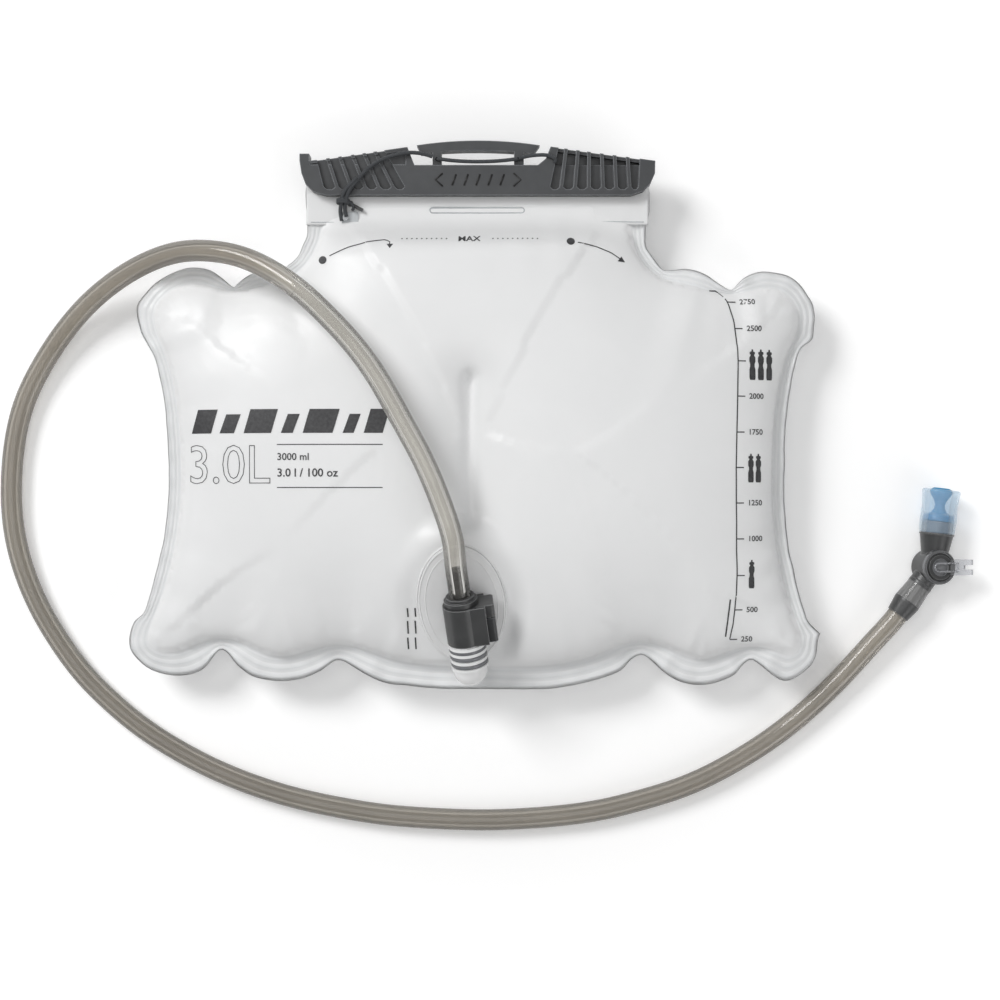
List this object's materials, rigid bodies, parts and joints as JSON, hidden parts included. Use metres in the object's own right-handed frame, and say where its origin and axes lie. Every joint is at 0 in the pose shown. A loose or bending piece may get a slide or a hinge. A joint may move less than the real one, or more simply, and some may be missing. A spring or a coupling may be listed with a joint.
{
  "type": "hydration bladder",
  "caption": "Filled hydration bladder lying flat, with a slide-top closure, welded front port, quick-release plug, drinking hose and bite valve with shut-off lever.",
  "frame": {"origin": "middle of the flat back face the bladder rests on", "axes": "+Z out of the front film, +Y towards the slide closure, +X to the right seen from the front"},
  "size_m": [0.4623, 0.3255, 0.0701],
  "materials": {
    "film_clear": "translucent frosted film",
    "clear_plastic": "clear moulded plastic",
    "dark_plastic": "matte moulded plastic",
    "button_plastic": "matte moulded plastic",
    "hose_tpu": "smoky translucent hose",
    "silicone": "frosted silicone",
    "core_blue": "soft moulded core",
    "band_grey": "matte moulded plastic",
    "cord_grey": "round braided cord",
    "oring_black": "o-ring rubber",
    "spring_steel": "stainless spring steel"
  },
  "bodies": {
    "reservoir": {"front_film": "film_clear", "back_film": "film_clear", "centre_baffle": "film_clear", "header_strip": "film_clear", "fold_rail": "clear_plastic", "port_base": "clear_plastic", "cord_anchor": "clear_plastic", "tether_cord": "cord_grey", "cord_toggle": "clear_plastic", "poppet_spring": "spring_steel"},
    "slide_seal": {"slide_channel": "dark_plastic", "cord_loop": "cord_grey"},
    "port_valve": {"port_poppet": "dark_plastic"},
    "plug": {"plug_housing": "dark_plastic", "plug_stem": "dark_plastic", "stem_orings": "oring_black", "latch_clip": "spring_steel", "button_spring": "spring_steel", "hose_collar": "dark_plastic", "hose_a": "hose_tpu"},
    "release": {"release_button": "button_plastic"},
    "hose_left": {"hose_b": "hose_tpu"},
    "hose_bottom": {"hose_c": "hose_tpu"},
    "hose_right": {"hose_d": "hose_tpu"},
    "hose_end": {"hose_e": "hose_tpu", "hose_gland": "dark_plastic", "clear_sleeve": "clear_plastic", "valve_stem": "dark_plastic", "swivel_oring": "oring_black", "swivel_ring": "dark_plastic"},
    "elbow": {"elbow_body": "dark_plastic", "bite_core": "core_blue", "bite_band": "band_grey", "bite_sheath": "silicone"},
    "shutoff": {"shutoff_lever": "clear_plastic", "rotor_orings": "oring_black"}
  },
  "joints": [
    {"name": "slide_open", "type": "slide", "parent": "reservoir", "child": "slide_seal", "axis": [-1, 0, 0], "range_m": [0, 0.17], "deforming": ["tether_cord"]},
    {"name": "plug_pull", "type": "slide", "parent": "reservoir", "child": "plug", "axis": [-0.1251, 0.9185, 0.3752], "range_m": [0, 0.016], "deforming": ["latch_clip", "poppet_spring"]},
    {"name": "port_valve_close", "type": "slide", "parent": "reservoir", "child": "port_valve", "axis": [-0.1251, 0.9185, 0.3752], "range_m": [0, 0.003], "deforming": ["poppet_spring"]},
    {"name": "button_press", "type": "slide", "parent": "plug", "child": "release", "axis": [-0.9909, -0.1349, 0], "range_m": [0, 0.0018], "stiffness_N_per_m": 400, "springref_m": -0.001, "deforming": ["button_spring", "latch_clip"]},
    {"name": "hose_swing_left", "type": "hinge", "parent": "plug", "child": "hose_left", "pos_m": [-0.22231, -0.014, 0.005], "axis": [0, 0, 1], "range_deg": [-18, 0]},
    {"name": "hose_swing_corner", "type": "hinge", "parent": "hose_left", "child": "hose_bottom", "pos_m": [-0.16114, -0.1171, 0.005], "axis": [0, 0, 1], "range_deg": [-18, 0]},
    {"name": "hose_lift", "type": "hinge", "parent": "hose_bottom", "child": "hose_right", "pos_m": [0.03897, -0.16002, 0.005], "axis": [0, -1, 0], "range_deg": [0, 45]},
    {"name": "hose_swing_right", "type": "hinge", "parent": "hose_right", "child": "hose_end", "pos_m": [0.11906, -0.13621, 0.005], "axis": [0, 0, 1], "range_deg": [-18, 0]},
    {"name": "elbow_swivel", "type": "hinge", "parent": "hose_end", "child": "elbow", "pos_m": [0.21614, -0.04121, 0.01], "axis": [0.594, 0.8043, 0.0178], "continuous": true},
    {"name": "lever_turn", "type": "hinge", "parent": "elbow", "child": "shutoff", "pos_m": [0.21614, -0.04121, 0.01], "axis": [0.2588, 0, 0.9659], "range_deg": [-90, 0]}
  ],
  "couplings": [
    {"joint": "port_valve_close", "follows": "plug_pull", "ratio": 0.1875}
  ]
}
